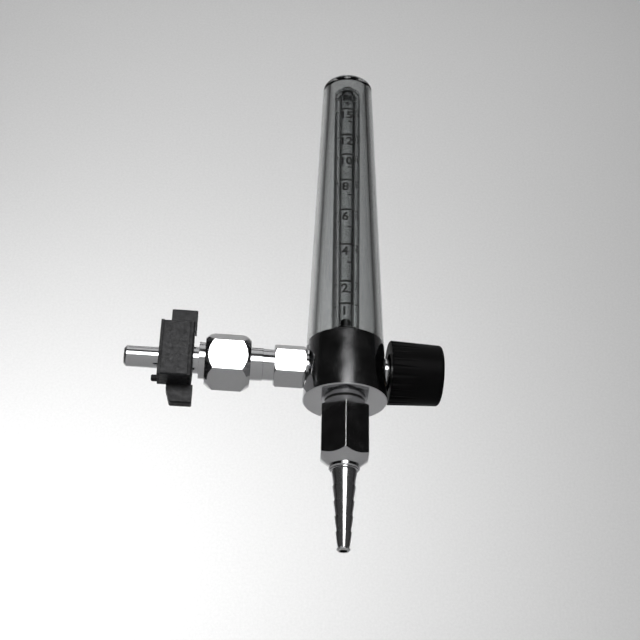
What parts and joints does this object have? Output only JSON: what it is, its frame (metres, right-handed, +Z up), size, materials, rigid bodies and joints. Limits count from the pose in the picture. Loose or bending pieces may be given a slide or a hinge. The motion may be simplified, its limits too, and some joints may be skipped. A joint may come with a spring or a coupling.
{
  "type": "medical gas flowmeter",
  "caption": "Float-tube gas flowmeter: clear tapered tube on a chrome body, fluted needle-valve knob, plug-in wall adapter with an index pin, and a barbed hose outlet.",
  "frame": {"origin": "where the adapter's probe leaves its seating face, on the inlet axis", "axes": "-X along the probe towards the wall, +Z up the float tube, -Y the front with the scale"},
  "size_m": [0.123, 0.0328, 0.215],
  "materials": {
    "chrome_body": "polished chrome plating on turned brass, fine turning marks, light handling wear",
    "chrome": "polished chrome plating on turned brass",
    "chrome_nut": "polished chrome plating on hexagon bar, turned chamfers, light spanner marks",
    "chrome_barb": "polished chrome plating, turned barbs",
    "black_block": "black anodised, satin, fine machining marks and worn edges",
    "black_plate": "black anodised plate, satin",
    "dark_screw": "blackened steel socket screw",
    "steel": "turned stainless steel",
    "steel_insert": "dark turned steel insert",
    "brass": "turned brass",
    "sintered_bronze": "sintered bronze, porous",
    "knob": "black moulded plastic, fine moulded texture, slightly polished ridges",
    "knob_cap": "black moulded plastic cap, satin, plain",
    "rubber": "black nitrile rubber, matt",
    "gasket": "black fibre and rubber gasket, matt",
    "seat_plastic": "turned grey plastic",
    "black_seat": "turned black plastic",
    "float_ball": "polished dark ball",
    "clear_tube": "clear polycarbonate, polished, faint moulding marks",
    "clear_tube_inner": "clear polycarbonate precision tube with printed scale"
  },
  "bodies": {
    "meter": {"adapter_back_plate": "black_plate", "adapter_block": "black_block", "adapter_face_plate": "black_plate", "adapter_screws": "dark_screw", "adapter_stub": "chrome", "bonnet_gasket": "gasket", "float_rest": "steel_insert", "float_stop": "steel_insert", "flowmeter_body": "chrome_body", "hose_nipple": "chrome_barb", "hose_washer": "gasket", "index_pin": "black_plate", "inlet_filter": "sintered_bronze", "inlet_nipple": "chrome", "inlet_union": "chrome_nut", "meter_tube_o_ring": "rubber", "metering_tube": "clear_tube_inner", "nipple_o_ring": "rubber", "outer_tube": "clear_tube", "outer_tube_o_ring": "rubber", "outlet_fitting": "chrome", "outlet_gasket": "gasket", "probe": "chrome", "stem_o_ring": "rubber", "tube_cushion": "rubber", "tube_seat": "black_seat", "valve_bonnet": "chrome", "valve_seat": "seat_plastic"},
    "float": {"float_ball": "float_ball"},
    "needle": {"valve_needle": "steel"},
    "knob": {"valve_stem": "steel", "control_knob": "knob", "knob_bush": "brass", "knob_set_screw": "dark_screw", "knob_cap": "knob_cap"},
    "inlet_nut": {"inlet_nut": "chrome_nut"},
    "outlet_nut": {"outlet_nut": "chrome_nut"}
  },
  "joints": [
    {"name": "float_rise", "type": "slide", "parent": "meter", "child": "float", "axis": [0, 0, 1], "range_m": [0, 0.105]},
    {"name": "needle_lift", "type": "slide", "parent": "meter", "child": "needle", "axis": [1, 0, 0], "range_m": [0, 0.00172]},
    {"name": "knob_turn", "type": "hinge", "parent": "needle", "child": "knob", "pos_m": [0.0722, 0, 0], "axis": [1, 0, 0], "range_deg": [0, 720]},
    {"name": "inlet_nut_turn", "type": "hinge", "parent": "meter", "child": "inlet_nut", "pos_m": [0.026, 0, 0], "axis": [1, 0, 0], "continuous": true},
    {"name": "outlet_nut_turn", "type": "hinge", "parent": "meter", "child": "outlet_nut", "pos_m": [0.0722, 0, -0.03], "axis": [0, 0, 1], "continuous": true}
  ],
  "couplings": [
    {"joint": "needle_lift", "follows": "knob_turn", "m_per_rad": 0.00012732}
  ]
}
